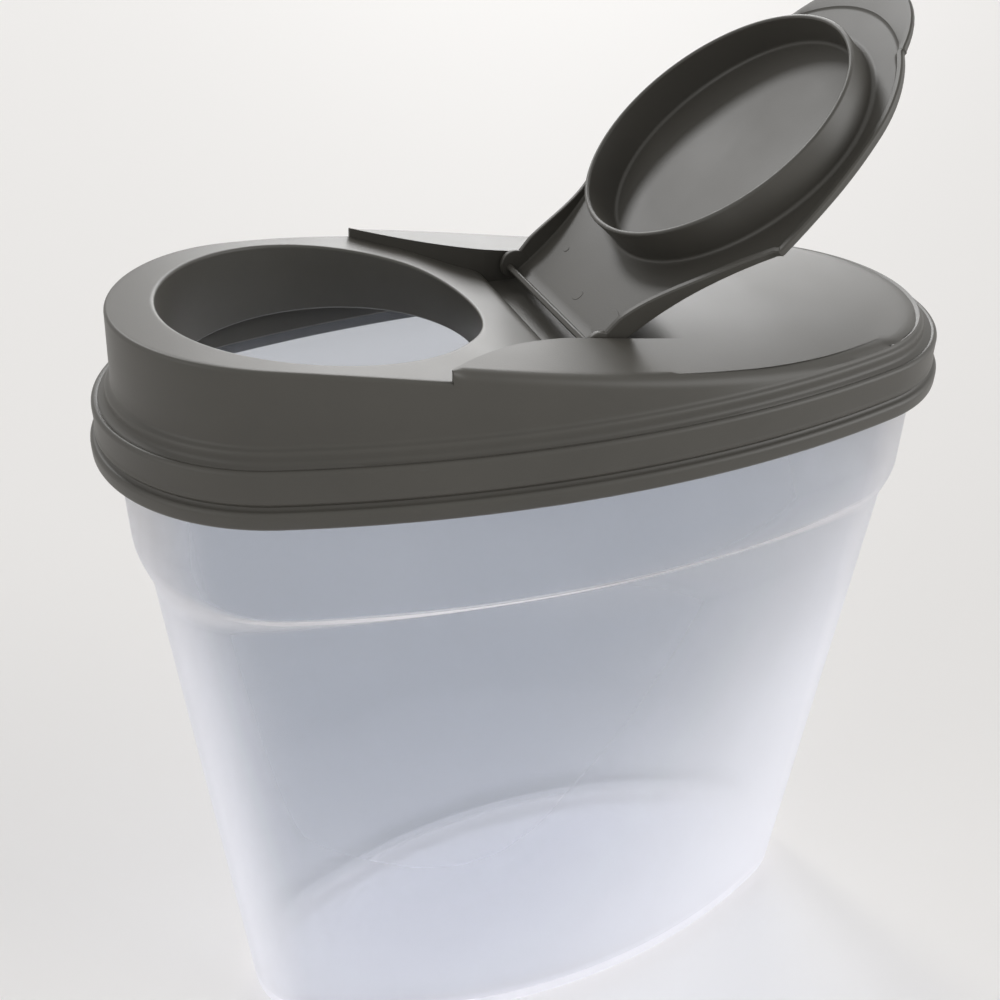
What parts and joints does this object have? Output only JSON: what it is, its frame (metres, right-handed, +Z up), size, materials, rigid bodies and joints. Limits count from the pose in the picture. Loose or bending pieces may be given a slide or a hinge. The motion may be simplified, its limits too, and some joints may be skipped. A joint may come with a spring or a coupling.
{
  "type": "cereal container",
  "caption": "Upright translucent tub for dry food with a press-on lid and a hinged flap that opens a round pouring hole.",
  "frame": {"origin": "centre of the base, on the surface that it stands on", "axes": "+Z up, +X along the container to the rear of its lid, so the pouring end is at -X, +Y across its width"},
  "size_m": [0.26, 0.1312, 0.345],
  "materials": {
    "clear_plastic": "frosted translucent polypropylene, smooth with a soft gloss",
    "grey_plastic": "fine matte grain"
  },
  "bodies": {
    "tub_body": {"tub": "clear_plastic"},
    "lid_body": {"lid": "grey_plastic"},
    "flap_body": {"flap": "grey_plastic"}
  },
  "joints": [
    {"name": "lid_lift", "type": "slide", "parent": "tub_body", "child": "lid_body", "axis": [0, 0, 1], "range_m": [0, 0.06]},
    {"name": "flap_hinge", "type": "hinge", "parent": "lid_body", "child": "flap_body", "pos_m": [0.0022, 0, 0.25864], "axis": [0, 1, 0], "range_deg": [-133, 0]}
  ]
}
